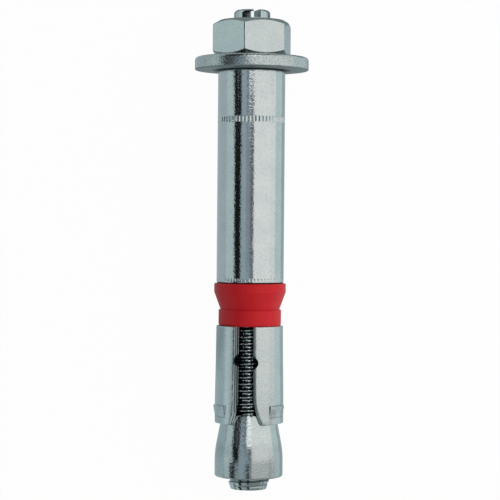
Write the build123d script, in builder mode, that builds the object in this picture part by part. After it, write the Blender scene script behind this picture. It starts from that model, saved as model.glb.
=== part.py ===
from build123d import *
from math import cos, radians, sin, tan
import os

# A heavy-duty sleeve anchor that is set by tightening its nut.
# It lies along the Y axis with its nut towards +Y. The origin is on the axis, where the washer
# meets the fixture, and depths are measured from there towards the cone, along -Y.
# Directions round the axis are measured from +Z towards +X.

# Thread and stud
thread_d = 12.0
thread_pitch = 1.75
thread_clearance = 0.05
dog_d = 9.6
dog_stand = 2.7
dog_chamfer = 0.75
dog_sink = 0.2
upper_thread_end = 26.0
lower_thread_start = 60.0
lead_length = 3.7
lead_end_d = 9.2
driver_slot_width = 1.9
driver_slot_depth = 2.2
driver_slot_turn = 17.0

# Hexagon nut
nut_across_flats = 19.0
nut_height = 9.7
nut_face_inset = 0.5
nut_chamfer_angle = 30.0
nut_countersink = 0.5
nut_turn = -10.0

# Washer
washer_d = 30.0
washer_bore_clearance = 0.5
washer_thickness = 3.4
washer_top_break = 0.6
washer_bottom_break = 0.3

# Distance sleeve
distance_bore_clearance = 0.35
distance_wall = 2.5
distance_length = 56.0
distance_end_break = 0.3

# Collapsible plastic ring
ring_height = 11.2
ring_bore_clearance = 0.3
ring_rim_stand = 0.6
ring_rim_height = 2.3
ring_rim_break = 0.25
ring_neck_depth = 0.5
ring_band_inset = 0.525
ring_band_height = 4.3
ring_band_break = 0.3

# Expansion sleeve, rolled from strip
expansion_length = 25.5
expansion_bore_clearance = 0.4
expansion_wall = 2.375
expansion_root_flare = 0.1
expansion_mouth_flare = 0.275
expansion_end_break = 0.35
flare_end = 18.5
slot_count = 3
seam_angle = -8.25
seam_width = 5.95
seam_bevel = 22.0
seam_widening = 0.85
finger_slot_width = 2.4
finger_slot_bevel = 7.6
corner_cut_width = 1.4
corner_cut_height = 3.2
seam_corner_cut_bevel = 43.0
seam_corner_cut_shift = 0.45
keyhole_angle = -5.95
keyhole_d = 2.95
keyhole_spacing = 3.3
keyhole_step = 0.59
keyhole_depth = 9.07
finger_keyhole_d = 3.6

# Pads that stop the sleeve from turning in its hole
pad_height = 3.1
pad_rise = 0.5
pad_start = 20.6
pad_half_angle = 20.5
pad_shift = 4.75
pad_seat = 0.5

# Cone nut
cone_inset = 0.05
cone_half_angle = 10.6
cone_length = 16.6
cone_engagement = 2.4
cone_top_break = 0.35
cone_shoulder_height = 6.4
cone_shoulder_radius = 27.0
cone_end_break = 0.45
cone_clearance = 0.1
stud_end_length = 3.3

# How far a cut runs past the wall it goes through
cut_overlap = 1.0

# Depths of the pieces along the axis
nut_base = -washer_thickness
nut_top = nut_base - nut_height
stud_top = nut_top - dog_stand
ring_top = distance_length
expansion_top = ring_top + ring_height
expansion_end = expansion_top + expansion_length
cone_top = expansion_end - cone_engagement
cone_end = cone_top + cone_length
stud_end = cone_end + stud_end_length

# Rolled thread blank: half the height of a 60 degree thread above and below it
thread_height_ratio = 0.6495
shank_d = thread_d - thread_height_ratio * thread_pitch

# Bores that the thread turns or passes in, and the walls and steps outside them
threaded_bore_d = thread_d + 2 * thread_clearance
washer_bore_d = thread_d + 2 * washer_bore_clearance
distance_bore_d = thread_d + 2 * distance_bore_clearance
distance_d = distance_bore_d + 2 * distance_wall
expansion_bore_d = thread_d + 2 * expansion_bore_clearance
expansion_top_d = expansion_bore_d + 2 * expansion_wall
expansion_root_d = expansion_top_d + 2 * expansion_root_flare
expansion_mouth_d = expansion_top_d + 2 * expansion_mouth_flare
ring_bore_d = thread_d + 2 * ring_bore_clearance
ring_rim_d = distance_d + 2 * ring_rim_stand
ring_band_d = expansion_top_d - 2 * ring_band_inset
ring_neck_d = ring_band_d - 2 * ring_neck_depth
cone_d = expansion_mouth_d - 2 * cone_inset
cone_taper = tan(radians(cone_half_angle))
nut_face_d = nut_across_flats - 2 * nut_face_inset


def at(diameter, depth):
    """A point of a turned profile."""
    return (diameter / 2, -depth)


def outward(angle):
    """The direction away from the axis at an angle round it."""
    return (sin(radians(angle)), 0, cos(radians(angle)))


def along_rim(angle):
    """The direction round the axis, at an angle."""
    return (cos(radians(angle)), 0, -sin(radians(angle)))


def cross_plane(depth, angle):
    """A plane across the axis, its y axis pointing outwards and its z axis towards the cone."""
    return Plane(origin=(0, -depth, 0), x_dir=along_rim(angle), z_dir=(0, -1, 0))


def facing_plane(depth, angle):
    """A plane through the axis that looks outwards, with its y axis towards the nut."""
    return Plane(origin=(0, -depth, 0), x_dir=along_rim(angle), z_dir=outward(angle))


def half_plane(angle):
    """The plane of the axis and of one outward direction, for a profile turned part of the way."""
    side = along_rim(angle)
    return Plane(origin=(0, 0, 0), x_dir=outward(angle), z_dir=(-side[0], 0, -side[2]))


def turned_profile(*points):
    """A closed profile beside the axis."""
    with BuildSketch(Plane.XY) as profile:
        with BuildLine():
            Polyline(*points, close=True)
        make_face()
    return profile.sketch


def tube_profile(outer_d, bore_d, top, end):
    """The wall of a straight tube."""
    return turned_profile(at(bore_d, top), at(outer_d, top), at(outer_d, end), at(bore_d, end))


def slot_section(half_width, bevel, shift=0):
    """A slot's section in a wall: half_width is that at the wall's outer face."""
    floor = expansion_bore_d / 2 - cut_overlap
    top = expansion_mouth_d / 2 + pad_rise + cut_overlap
    middle = expansion_mouth_d / 2
    slope = tan(radians(bevel))
    low = half_width - (middle - floor) * slope
    high = half_width + (top - middle) * slope
    return [(shift - low, floor), (shift + low, floor), (shift + high, top), (shift - high, top)]


# Stud: a slotted dog point, two rolled threads and a conical lead
dog_root = nut_top + dog_sink
dog_cone = dog_root + (thread_d - dog_d) / 2
runout = (thread_d - shank_d) / 2

with BuildPart() as threaded_stud:
    revolve(
        turned_profile(
            (0, -stud_top),
            at(dog_d, stud_top),
            at(dog_d, dog_root),
            at(thread_d, dog_cone),
            at(thread_d, upper_thread_end),
            at(shank_d, upper_thread_end + runout),
            at(shank_d, lower_thread_start - runout),
            at(thread_d, lower_thread_start),
            at(thread_d, stud_end - lead_length),
            at(lead_end_d, stud_end),
            (0, -stud_end),
        ),
        axis=Axis.Y,
    )
    chamfer(threaded_stud.edges().filter_by(GeomType.CIRCLE).sort_by(Axis.Y)[-1], dog_chamfer)
    with BuildSketch(cross_plane(stud_top, driver_slot_turn)):
        Rectangle(driver_slot_width, 2 * dog_d)
    extrude(amount=driver_slot_depth, mode=Mode.SUBTRACT)

# Nut: a hexagon that both chamfer cones trim
nut_corner_d = nut_across_flats / cos(radians(30))
nut_trim_depth = (nut_corner_d - nut_face_d) / 2 * tan(radians(nut_chamfer_angle))

with BuildPart() as hex_nut:
    with BuildSketch(cross_plane(nut_top, nut_turn)):
        RegularPolygon(radius=nut_corner_d / 2, side_count=6, rotation=30)
    extrude(amount=nut_height)
    revolve(
        turned_profile(
            (0, -nut_top),
            at(nut_face_d, nut_top),
            at(nut_corner_d, nut_top + nut_trim_depth),
            at(nut_corner_d, nut_base - nut_trim_depth),
            at(nut_face_d, nut_base),
            (0, -nut_base),
        ),
        axis=Axis.Y,
        mode=Mode.INTERSECT,
    )
    with BuildSketch(cross_plane(nut_top, nut_turn)):
        Circle(threaded_bore_d / 2)
    extrude(amount=nut_height, mode=Mode.SUBTRACT)
    bore_rims = hex_nut.edges().filter_by(GeomType.CIRCLE).group_by(SortBy.RADIUS)[0]
    chamfer(bore_rims, nut_countersink)

# Washer: blanked from plate, so one edge is broken more than the other
with BuildPart() as washer:
    revolve(tube_profile(washer_d, washer_bore_d, nut_base, 0), axis=Axis.Y)
    rims = washer.edges().filter_by(GeomType.CIRCLE).group_by(SortBy.RADIUS)[-1].sort_by(Axis.Y)
    chamfer(rims[-1], washer_top_break)
    rims = washer.edges().filter_by(GeomType.CIRCLE).group_by(SortBy.RADIUS)[-1].sort_by(Axis.Y)
    chamfer(rims[0], washer_bottom_break)

# Distance sleeve: a plain tube from the washer to the ring
with BuildPart() as distance_sleeve:
    revolve(tube_profile(distance_d, distance_bore_d, 0, ring_top), axis=Axis.Y)
    chamfer(
        distance_sleeve.edges().filter_by(GeomType.CIRCLE).group_by(SortBy.RADIUS)[-1],
        distance_end_break,
    )

# Ring: a proud rim, a taper to the neck, and a band that the sleeve pushes on
band_top = expansion_top - ring_band_height

with BuildPart() as collapsible_ring:
    revolve(
        turned_profile(
            at(ring_bore_d, ring_top),
            at(ring_rim_d, ring_top),
            at(ring_rim_d, ring_top + ring_rim_height),
            at(ring_neck_d, band_top),
            at(ring_band_d, band_top),
            at(ring_band_d, expansion_top),
            at(ring_bore_d, expansion_top),
        ),
        axis=Axis.Y,
    )
    rims = collapsible_ring.edges().filter_by(GeomType.CIRCLE).sort_by(Axis.Y)
    rim_edge = rims.group_by(Axis.Y)[-1].sort_by(SortBy.RADIUS)[-1]
    chamfer(rim_edge, ring_rim_break)
    band_edges = collapsible_ring.edges().filter_by(
        lambda edge: edge.geom_type == GeomType.CIRCLE and abs(edge.radius - ring_band_d / 2) < 0.001
    )
    chamfer(band_edges, ring_band_break)

# Cone nut: a taper that a large arc carries into a straight land, with its lower edge broken
cone_corner = cone_end - cone_shoulder_height
cone_top_d = cone_d - 2 * (cone_corner - cone_top) * cone_taper

with BuildPart() as cone_nut:
    with BuildSketch(Plane.XY) as cone_profile:
        with BuildLine():
            Polyline(
                at(threaded_bore_d, cone_top),
                at(cone_top_d, cone_top),
                at(cone_d, cone_corner),
                at(cone_d, cone_end),
                at(threaded_bore_d, cone_end),
                close=True,
            )
        make_face()
        corners = cone_profile.vertices().group_by(Axis.X)[-1].sort_by(Axis.Y)
        fillet(corners[-1], cone_shoulder_radius)
        chamfer(cone_profile.vertices().group_by(Axis.Y)[0].sort_by(Axis.X)[-1], cone_end_break)
        chamfer(cone_profile.vertices().group_by(Axis.Y)[-1].sort_by(Axis.X)[-1], cone_top_break)
    revolve(axis=Axis.Y)

# Expansion sleeve: the bore opens at the mouth to take the cone, and the fingers flare a little
root_depth = expansion_top + keyhole_depth
flare_depth = expansion_top + flare_end
mouth_bore_d = cone_top_d + 2 * (cone_engagement * cone_taper + cone_clearance)
bore_taper_top = expansion_end - (mouth_bore_d - expansion_bore_d) / 2 / cone_taper
finger_pitch = 360 / slot_count
corner_cut_top = expansion_end - corner_cut_height
finger_slot_angles = [seam_angle + number * finger_pitch for number in range(1, slot_count)]
mouths = [
    (seam_angle, seam_width + seam_widening, seam_bevel, seam_corner_cut_bevel, seam_corner_cut_shift),
]
mouths += [
    (slot_angle, finger_slot_width, finger_slot_bevel, finger_slot_bevel, 0) for slot_angle in finger_slot_angles
]

with BuildPart() as expansion_sleeve:
    revolve(
        turned_profile(
            at(expansion_bore_d, expansion_top),
            at(expansion_top_d, expansion_top),
            at(expansion_root_d, root_depth),
            at(expansion_mouth_d, flare_depth),
            at(expansion_mouth_d, expansion_end - expansion_end_break),
            at(expansion_mouth_d - 2 * expansion_end_break, expansion_end),
            at(mouth_bore_d, expansion_end),
            at(expansion_bore_d, bore_taper_top),
        ),
        axis=Axis.Y,
    )
    # One pad on each finger, standing square at its upper edge and running out below
    pad_top = expansion_top + pad_start
    for number in range(slot_count):
        pad_angle = seam_angle + pad_shift + (number + 0.5) * finger_pitch - pad_half_angle
        with BuildSketch(half_plane(pad_angle)):
            with BuildLine():
                Polyline(
                    at(expansion_mouth_d - 2 * pad_seat, pad_top),
                    at(expansion_mouth_d + 2 * pad_rise, pad_top),
                    at(expansion_mouth_d, pad_top + pad_height),
                    at(expansion_mouth_d - 2 * pad_seat, pad_top + pad_height),
                    close=True,
                )
            make_face()
        revolve(axis=Axis.Y, revolution_arc=2 * pad_half_angle)
    # The seam between the strip's ends, a little wider towards the mouth
    for start, end, growth in ((expansion_top, root_depth, 0), (root_depth, expansion_end, seam_widening)):
        with BuildSketch(cross_plane(start, seam_angle)):
            Polygon(*slot_section(seam_width / 2, seam_bevel), align=None)
        with BuildSketch(cross_plane(end, seam_angle)):
            Polygon(*slot_section((seam_width + growth) / 2, seam_bevel), align=None)
        loft(ruled=True, mode=Mode.SUBTRACT)
    # Half a keyhole in each end of the strip
    with BuildSketch(facing_plane(root_depth, keyhole_angle)):
        with Locations((-keyhole_spacing / 2, keyhole_step / 2), (keyhole_spacing / 2, -keyhole_step / 2)):
            Circle(keyhole_d / 2)
    extrude(amount=expansion_mouth_d, mode=Mode.SUBTRACT)
    # The other slots, each from its keyhole to the mouth
    for slot_angle in finger_slot_angles:
        with BuildSketch(cross_plane(root_depth, slot_angle)):
            Polygon(*slot_section(finger_slot_width / 2, finger_slot_bevel), align=None)
        extrude(amount=expansion_end - root_depth, mode=Mode.SUBTRACT)
        with BuildSketch(facing_plane(root_depth, slot_angle)):
            Circle(finger_keyhole_d / 2)
        extrude(amount=expansion_mouth_d, mode=Mode.SUBTRACT)
    # Cut corners, where each slot opens at the mouth
    for slot_angle, width, bevel, mouth_bevel, shift in mouths:
        with BuildSketch(cross_plane(corner_cut_top, slot_angle)):
            Polygon(*slot_section(width / 2, bevel), align=None)
        with BuildSketch(cross_plane(expansion_end, slot_angle)):
            Polygon(*slot_section(width / 2 + corner_cut_width, mouth_bevel, shift), align=None)
        loft(ruled=True, mode=Mode.SUBTRACT)

os.makedirs("parts", exist_ok=True)

threaded_stud.part.label = "threaded_stud"
export_step(threaded_stud.part, "parts/threaded_stud.step")
hex_nut.part.label = "hex_nut"
export_step(hex_nut.part, "parts/hex_nut.step")
washer.part.label = "washer"
export_step(washer.part, "parts/washer.step")
distance_sleeve.part.label = "distance_sleeve"
export_step(distance_sleeve.part, "parts/distance_sleeve.step")
collapsible_ring.part.label = "collapsible_ring"
export_step(collapsible_ring.part, "parts/collapsible_ring.step")
expansion_sleeve.part.label = "expansion_sleeve"
export_step(expansion_sleeve.part, "parts/expansion_sleeve.step")
cone_nut.part.label = "cone_nut"
export_step(cone_nut.part, "parts/cone_nut.step")
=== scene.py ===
from math import acos, asin, atan2, ceil, cos, degrees, hypot, pi, radians, sin, sqrt, tan

import bmesh
import bpy
import numpy as np
from mathutils import Matrix, Vector
from mathutils.geometry import delaunay_2d_cdt


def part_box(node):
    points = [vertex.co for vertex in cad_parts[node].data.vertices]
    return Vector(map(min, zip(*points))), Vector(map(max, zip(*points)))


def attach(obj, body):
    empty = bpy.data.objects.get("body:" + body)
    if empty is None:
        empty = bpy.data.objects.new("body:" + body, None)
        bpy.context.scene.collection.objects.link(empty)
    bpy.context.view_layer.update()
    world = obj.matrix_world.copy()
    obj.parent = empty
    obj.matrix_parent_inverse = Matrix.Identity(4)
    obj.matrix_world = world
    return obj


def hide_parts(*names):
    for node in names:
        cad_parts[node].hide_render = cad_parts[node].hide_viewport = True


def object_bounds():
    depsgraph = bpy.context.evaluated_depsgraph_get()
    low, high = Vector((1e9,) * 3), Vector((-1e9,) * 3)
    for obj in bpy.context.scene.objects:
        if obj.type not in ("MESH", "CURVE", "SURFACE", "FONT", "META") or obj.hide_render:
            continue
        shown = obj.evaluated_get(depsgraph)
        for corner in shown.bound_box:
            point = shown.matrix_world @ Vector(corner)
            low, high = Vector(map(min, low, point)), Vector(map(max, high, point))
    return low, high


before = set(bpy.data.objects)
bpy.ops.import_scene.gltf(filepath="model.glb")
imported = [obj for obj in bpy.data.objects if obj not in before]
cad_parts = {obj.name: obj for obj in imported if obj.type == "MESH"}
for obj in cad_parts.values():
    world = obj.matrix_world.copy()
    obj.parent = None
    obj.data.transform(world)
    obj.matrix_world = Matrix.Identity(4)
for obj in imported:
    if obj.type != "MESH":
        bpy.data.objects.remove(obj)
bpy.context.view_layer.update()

# The anchor lies along Y with its nut towards +Y. Lengths are in millimetres, and a depth is
# measured along the axis from the washer's underside towards the cone. Directions round the
# axis are measured from +Z, which is up, towards +X.
MM = 0.001


def width_of(node):
    """A node's size across the axis."""
    low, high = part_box(node)
    return (high.x - low.x) / MM


def top_of(node):
    """The depth where a node begins, at its end towards the nut."""
    return -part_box(node)[1].y / MM


def end_of(node):
    """The depth where a node ends, at its end towards the cone."""
    return -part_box(node)[0].y / MM


# Thread and stud
thread_d = width_of("threaded_stud")
thread_pitch = 1.75
thread_samples = 12
thread_segments = 60
thread_height = 0.6134 * thread_pitch
thread_crest_share = 0.875
thread_root_share = 0.25
thread_roundness = 0.35
shank_d = 10.86
upper_thread_end = 26.0
lower_thread_start = 60.0
stud_top = top_of("threaded_stud")
stud_end = end_of("threaded_stud")
dog_d = 9.6
dog_rounding = 1.0
dog_length = 2.9
dog_draft_angle = 1.5
lead_length = 3.7
lead_end_d = 9.45
driver_slot_width = 1.9
driver_slot_depth = 2.2
driver_slot_turn = 17.0

# Hexagon nut
nut_top = top_of("hex_nut")
nut_base = end_of("hex_nut")
nut_across_flats = 19.0
nut_face_d = 16.9
nut_face_rounding = 0.15
nut_chamfer_angle = 30.0
nut_turn = -10.0
nut_corner_rounding = 0.55
nut_edge_rounding = 0.25
nut_countersink = 0.5
nut_bore_rounding = 0.05
nut_minor_d = 10.2
nut_thread_clearance = 0.1
threaded_bore_d = thread_d + 0.1

# Washer
washer_d = width_of("washer")
washer_top = top_of("washer")
washer_bore_d = 13.0
washer_bore_rounding = 0.2
washer_top_rounding = 0.9
washer_bottom_rounding = 0.4

# Distance sleeve with two rings of struck marks, each given by its start, its end and its depth
distance_d = width_of("distance_sleeve")
distance_end = end_of("distance_sleeve")
distance_bore_d = 12.7
distance_end_rounding = 0.5
mark_count = 55
mark_samples = 12
mark_row = 0.15
mark_sharpness = 3.0
mark_runout = 0.35
mark_skin = 0.01
gauge_marks = (12.2, 14.0, 0.2)
end_marks = (distance_end - 1.5, distance_end - 0.45, 0.1)

# Collapsible ring
ring_top = top_of("collapsible_ring")
ring_end = end_of("collapsible_ring")
ring_bore_d = 12.6
ring_bore_rounding = 0.2
ring_rim_d = width_of("collapsible_ring")
ring_rim_height = 2.3
ring_rim_rounding = 0.35
ring_shoulder_rounding = 0.5
ring_neck_d = 15.5
ring_neck_rounding = 0.12
ring_band_d = 16.5
ring_band_height = 4.3
ring_band_top_rounding = 0.3
ring_band_rounding = 0.6

# Expansion sleeve
expansion_top = top_of("expansion_sleeve")
expansion_end = end_of("expansion_sleeve")
expansion_bore_d = 12.8
expansion_top_d = 17.55
expansion_root_d = 17.75
expansion_mouth_d = 18.1
root_depth = expansion_top + 9.07
flare_depth = expansion_top + 18.5
flare_smoothing = 1.0
slot_count = 3
slot_pitch = 360 / slot_count
seam_angle = -8.25
seam_half_angle = 17.8
seam_growth = 0.085
seam_lean = 1.8
seam_corners = {-1: (3.0, 26.7, 3.0), 1: (4.1, 33.4, 13.0)}
keyhole_angle = -5.95
keyhole_radius = 1.475
keyhole_spacing = 3.3
keyhole_step = 0.59
keyhole_arc_steps = 16
finger_slot_half_angle = 7.6
finger_keyhole_radius = 1.8
finger_keyhole_steps = 24
finger_corner = (3.2, 16.5, 2.0)
mouth_corner_rounding = 0.55
outer_edge_rounding = 0.12
inner_edge_rounding = 0.25
pad_start = expansion_top + 20.6
pad_height = 3.1
pad_rise = 0.5
pad_edge = [(0, 0), (0.12, 0.62), (0.26, 0.9), (0.45, 1)]
pad_angle = 56.5
pad_half_angle = 20.5

# How far the sleeve's bright outside reaches over its edges
keyhole_reach = 0.4
right_wall_margin = 0.02
wall_margin = 0.04
end_margin = 0.15
end_normal = 0.65

# How finely the sleeve's sheet is divided
sheet_column = 2.5
sheet_row = 1.2
sheet_edge = 0.8
sheet_margin = 0.12
pad_column_gap = 3.3

# Cone nut
cone_top = top_of("cone_nut")
cone_end = end_of("cone_nut")
cone_d = width_of("cone_nut")
cone_half_angle = 10.6
cone_shoulder_height = 6.4
cone_shoulder_radius = 27.0
cone_top_rounding = 0.35
cone_end_rounding = 0.5
cone_bore_top_rounding = 0.15
cone_bore_end_rounding = 0.3
cone_clearance = 0.1
cone_taper = tan(radians(cone_half_angle))
cone_corner = cone_end - cone_shoulder_height
cone_top_d = cone_d - 2 * (cone_corner - cone_top) * cone_taper
mouth_bore_d = cone_top_d + 2 * ((expansion_end - cone_top) * cone_taper + cone_clearance)

# Zinc: its colours, the dark one also for its pits, and how much of the dark one shows as painted shade on
# each piece and as darker bands on the sleeve's walls
zinc_pale = (0.630, 0.665, 0.650, 1)
zinc_deep = (0.575, 0.620, 0.615, 1)
pit_and_shade_colour = (0.036, 0.062, 0.068, 1)
roughness_spread = 0.06
stud_painted_shade = 0.27
lead_painted_shade = 0.08
lead_groove_painted_shade = 0.3
tube_end_painted_shade = 0.8
washer_underside_painted_shade = 0.46
washer_middle_painted_shade = 0.34
pad_crease_painted_shade = 0.55
pad_top_painted_shade = 0.12
pad_foot_painted_shade = 0.25
right_pad_painted_shade = 0.14
outer_dark_band = (8.15, 8.45)
middle_dark_band = (7.0, 7.45)
bore_shade_radius = 6.5
bore_painted_shade = 0.6
cone_painted_shade = 0.16

# Studio, in metres
ambient_strength = 0.35
floor_white_share = 0.97
floor_reach = 4.0
card_radius = 0.72
card_reach = 0.85
card_lift = 0.0003
softbox_length = 1.6
softbox_start = 9.5
softbox_face_end = 70
softbox_end = 88.0
softbox_distance = 0.8
softbox_strength = 1.0


def arithmetic(operation):
    """Two methods that add a Math node, with a number as its first or as its second value."""
    def first(number, other):
        return number.graph.math(operation, number, other)

    def second(number, other):
        return number.graph.math(operation, other, number)

    return first, second


class Number:
    """A number inside a node tree. Arithmetic on it adds Math nodes."""

    def __init__(self, graph, socket):
        self.graph = graph
        self.socket = socket

    def math(self, operation, *others):
        return self.graph.math(operation, self, *others)

    __add__, __radd__ = arithmetic("ADD")
    __sub__, __rsub__ = arithmetic("SUBTRACT")
    __mul__, __rmul__ = arithmetic("MULTIPLY")
    __truediv__, __rtruediv__ = arithmetic("DIVIDE")


class Graph:
    """Builds a node tree, of a material or of a shape."""

    def __init__(self, tree):
        self.tree = tree

    def node(self, kind, settings=None, inputs=None):
        """A node: its settings are set first, and then the values or links of its sockets."""
        node = self.tree.nodes.new(kind)
        for name, value in (settings or {}).items():
            setattr(node, name, value)
        for name, value in (inputs or {}).items():
            self.feed(node.inputs[name], value)
        return node

    def feed(self, socket, value):
        if isinstance(value, Number):
            value = value.socket
        if isinstance(value, bpy.types.NodeSocket):
            self.tree.links.new(value, socket)
        else:
            socket.default_value = value

    def number(self, kind, settings=None, inputs=None, output=0):
        return Number(self, self.node(kind, settings, inputs).outputs[output])

    def math(self, operation, *values):
        return self.number("ShaderNodeMath", {"operation": operation}, dict(enumerate(values)))

    def split(self, vector):
        """The three parts of a vector."""
        parts = self.node("ShaderNodeSeparateXYZ", inputs={"Vector": vector}).outputs
        return [Number(self, parts[axis]) for axis in "XYZ"]

    def rise(self, value, start, end):
        """0 below start, 1 above end, and smooth between them."""
        settings = {"interpolation_type": "SMOOTHSTEP"}
        inputs = {"Value": value, "From Min": start, "From Max": end}
        return self.number("ShaderNodeMapRange", settings, inputs)

    def fall(self, value, start, end):
        """1 below start, 0 above end, and smooth between them."""
        return 1 - self.rise(value, start, end)

    def within(self, value, low, high, edge):
        """1 from low to high, with soft edges of this half width."""
        return self.rise(value, low - edge, low + edge) * self.fall(value, high - edge, high + edge)

    def near(self, value, place, full, none):
        """1 up to the distance full from a place, 0 from the distance none, and smooth between."""
        return self.fall((value - place).math("ABSOLUTE"), full, none)


# Mesh helpers


def outward(angle):
    """The direction away from the axis at an angle in degrees."""
    return Vector((sin(radians(angle)), 0, cos(radians(angle))))


def point_at(radius, depth, angle):
    """A place on the anchor, in metres."""
    place = outward(angle) * radius
    place.y = -depth
    return place * MM


def rounded(points, steps=5):
    """A closed outline whose corners, where a point has a third value, become arcs of that radius."""
    result = []
    for index, point in enumerate(points):
        corner = Vector(point[:2])
        radius = point[2] if len(point) > 2 else 0
        if not radius:
            result.append(corner)
            continue
        before = (Vector(points[index - 1][:2]) - corner).normalized()
        after = (Vector(points[(index + 1) % len(points)][:2]) - corner).normalized()
        half = acos(max(-1.0, min(1.0, before.dot(after)))) / 2
        centre = corner + (before + after).normalized() * (radius / sin(half))
        start = corner + before * (radius / tan(half)) - centre
        end = corner + after * (radius / tan(half)) - centre
        side = 1 if start.cross(end) > 0 else -1
        turn = Matrix.Rotation(side * (pi - 2 * half) / steps, 2)
        for _ in range(steps + 1):
            result.append(centre + start)
            start = turn @ start
    return result


def linked(name, data):
    """A new object in the scene."""
    made = bpy.data.objects.new(name, data)
    bpy.context.scene.collection.objects.link(made)
    return made


def object_of(name, mesh, weld=1e-7):
    """An object of a mesh, after its doubles are merged and its faces are turned outwards."""
    work = bmesh.new()
    work.from_mesh(mesh)
    bmesh.ops.remove_doubles(work, verts=work.verts, dist=weld)
    bmesh.ops.dissolve_degenerate(work, edges=work.edges, dist=weld)
    openings = [edge for edge in work.edges if edge.is_boundary]
    bmesh.ops.holes_fill(work, edges=openings, sides=0)
    bmesh.ops.recalc_face_normals(work, faces=work.faces)
    work.to_mesh(mesh)
    work.free()
    return linked(name, mesh)


def mesh_object(name, vertices, faces):
    """A welded object of these corners and faces."""
    mesh = bpy.data.meshes.new(name)
    mesh.from_pydata([tuple(v) for v in vertices], [], faces)
    return object_of(name, mesh)


def applied(source):
    """The object with its modifiers made part of its mesh."""
    graph = bpy.context.evaluated_depsgraph_get()
    graph.update()
    mesh = bpy.data.meshes.new_from_object(source.evaluated_get(graph), depsgraph=graph)
    source.modifiers.clear()
    source.data = mesh
    return source


def smooth(piece, sharp_angle=35):
    """Smooth shading that keeps flat and straight faces true beside small roundings."""
    for face in piece.data.polygons:
        face.use_smooth = True
    piece.data.set_sharp_from_angle(angle=radians(sharp_angle))
    weighted = piece.modifiers.new("weighted normals", "WEIGHTED_NORMAL")
    weighted.keep_sharp = True
    weighted.weight = 100
    return applied(piece)


def swept(name, angles, profile_at):
    """A surface round the axis: profile_at(angle) gives a closed profile of (radius, depth)."""
    vertices = []
    for angle in angles:
        vertices += [point_at(radius, depth, angle) for radius, depth in profile_at(angle)]
    rows = len(vertices) // len(angles)
    faces = []
    for column in range(len(angles)):
        here, there = column * rows, (column + 1) % len(angles) * rows
        for row in range(rows):
            following = (row + 1) % rows
            faces.append((here + row, here + following, there + following, there + row))
    return mesh_object(name, vertices, faces)


def turned(name, points, segments=160, steps=5):
    """A turned piece with a bore."""
    profile = rounded([(point[0] / 2, *point[1:]) for point in points], steps)
    return swept(name, [360 * index / segments for index in range(segments)], lambda angle: profile)


def dress(piece, material, slot, body, *nodes):
    """Gives a finished piece its material and its body, and hides the nodes that it stands for. The slot is
    not used.
    """
    piece.data.materials.clear()
    piece.data.materials.append(material)
    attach(piece, body)
    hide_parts(*nodes)
    return piece


# Shape rules as geometry trees


class ShapeRule:
    """A geometry tree with named inputs, used once on an object and made part of its mesh."""

    def __init__(self, name):
        self.tree = bpy.data.node_groups.new(name, "GeometryNodeTree")
        self.graph = Graph(self.tree)
        for direction in ("INPUT", "OUTPUT"):
            self.tree.interface.new_socket("Geometry", in_out=direction, socket_type="NodeSocketGeometry")
        self.group_input = self.graph.node("NodeGroupInput")
        self.place = self.graph.split(self.graph.node("GeometryNodeInputPosition").outputs[0])
        self.values = {}

    def value(self, name, value):
        """A named input of the tree, as a number to work with."""
        kind = "NodeSocketInt" if isinstance(value, int) else "NodeSocketFloat"
        socket = self.tree.interface.new_socket(name, in_out="INPUT", socket_type=kind)
        self.values[socket.identifier] = value
        return Number(self.graph, self.group_input.outputs[name])

    def length(self, name, millimetres):
        """A named input for a length."""
        return self.value(name, millimetres * MM)

    def finish(self, geometry, target, place, material):
        """Moves the geometry's points to a place or by an offset, and ends the tree."""
        vector = self.graph.node("ShaderNodeCombineXYZ", inputs=dict(zip("XYZ", place)))
        inputs = {"Geometry": geometry, target: vector.outputs[0]}
        moved = self.graph.node("GeometryNodeSetPosition", inputs=inputs)
        realized = self.graph.node("GeometryNodeRealizeInstances", inputs={"Geometry": moved.outputs[0]})
        inputs = {"Geometry": realized.outputs[0], "Material": material}
        finished = self.graph.node("GeometryNodeSetMaterial", inputs=inputs)
        self.graph.node("NodeGroupOutput", inputs={"Geometry": finished.outputs[0]})

    def apply_to(self, piece):
        modifier = piece.modifiers.new(self.tree.name, "NODES")
        modifier.node_group = self.tree
        for identifier, value in self.values.items():
            modifier[identifier] = value
        return applied(piece)


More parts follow.
